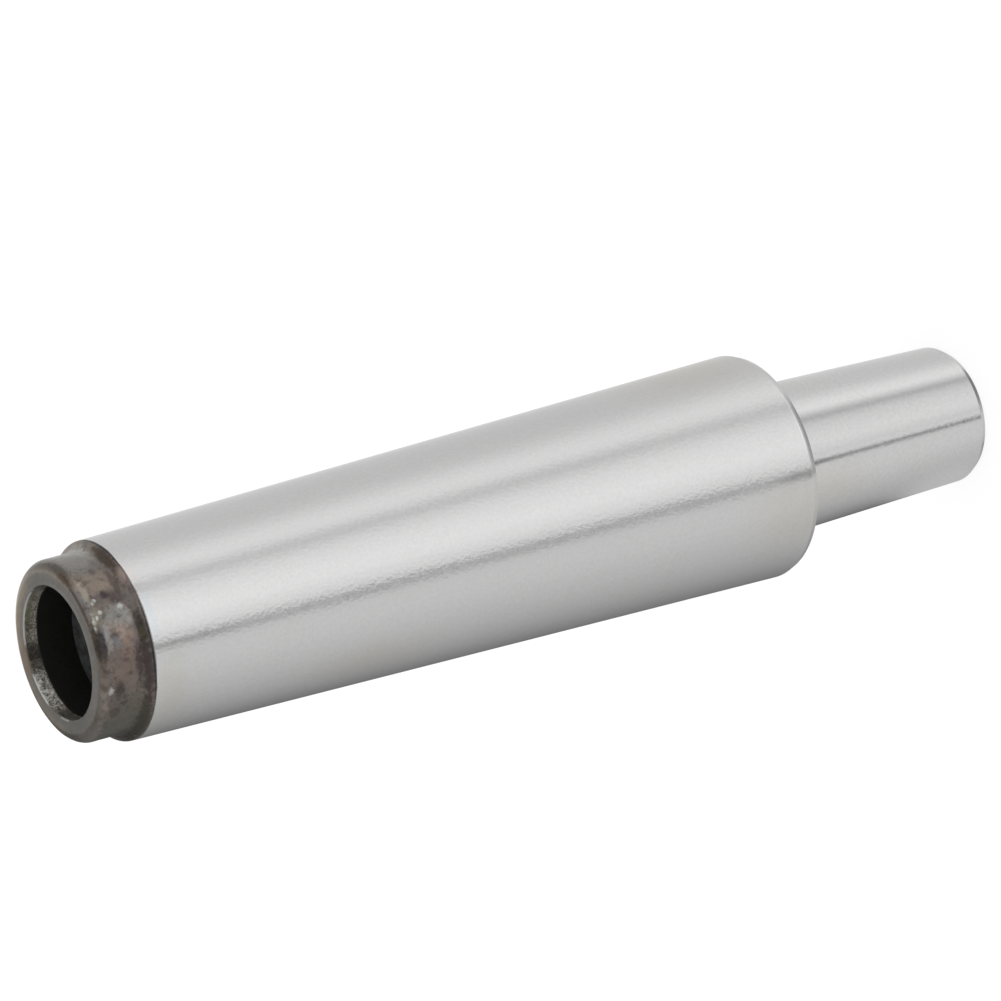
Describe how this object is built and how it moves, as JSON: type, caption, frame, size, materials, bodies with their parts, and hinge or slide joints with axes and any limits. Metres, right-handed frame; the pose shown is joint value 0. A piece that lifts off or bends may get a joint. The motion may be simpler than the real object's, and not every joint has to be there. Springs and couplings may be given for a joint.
{
  "type": "drill chuck arbor",
  "caption": "Drill chuck arbor: ground tapered shank with a dark, tapped drawbar end, stepping down at a shoulder to a short self-holding taper that carries a drill chuck.",
  "frame": {"origin": "centre of the flat end face of the chuck taper, on which the arbor stands", "axes": "+Z along the arbor's axis, from the chuck end up to the drawbar end; X and Y are free, because the arbor is a solid of revolution"},
  "size_m": [0.0238, 0.0238, 0.109],
  "materials": {
    "steel": "ground bright on both tapers, with a dark grey-brown hardening scale on the drawbar end and in its bore"
  },
  "bodies": {
    "root": {"arbor": "steel"}
  },
  "joints": []
}
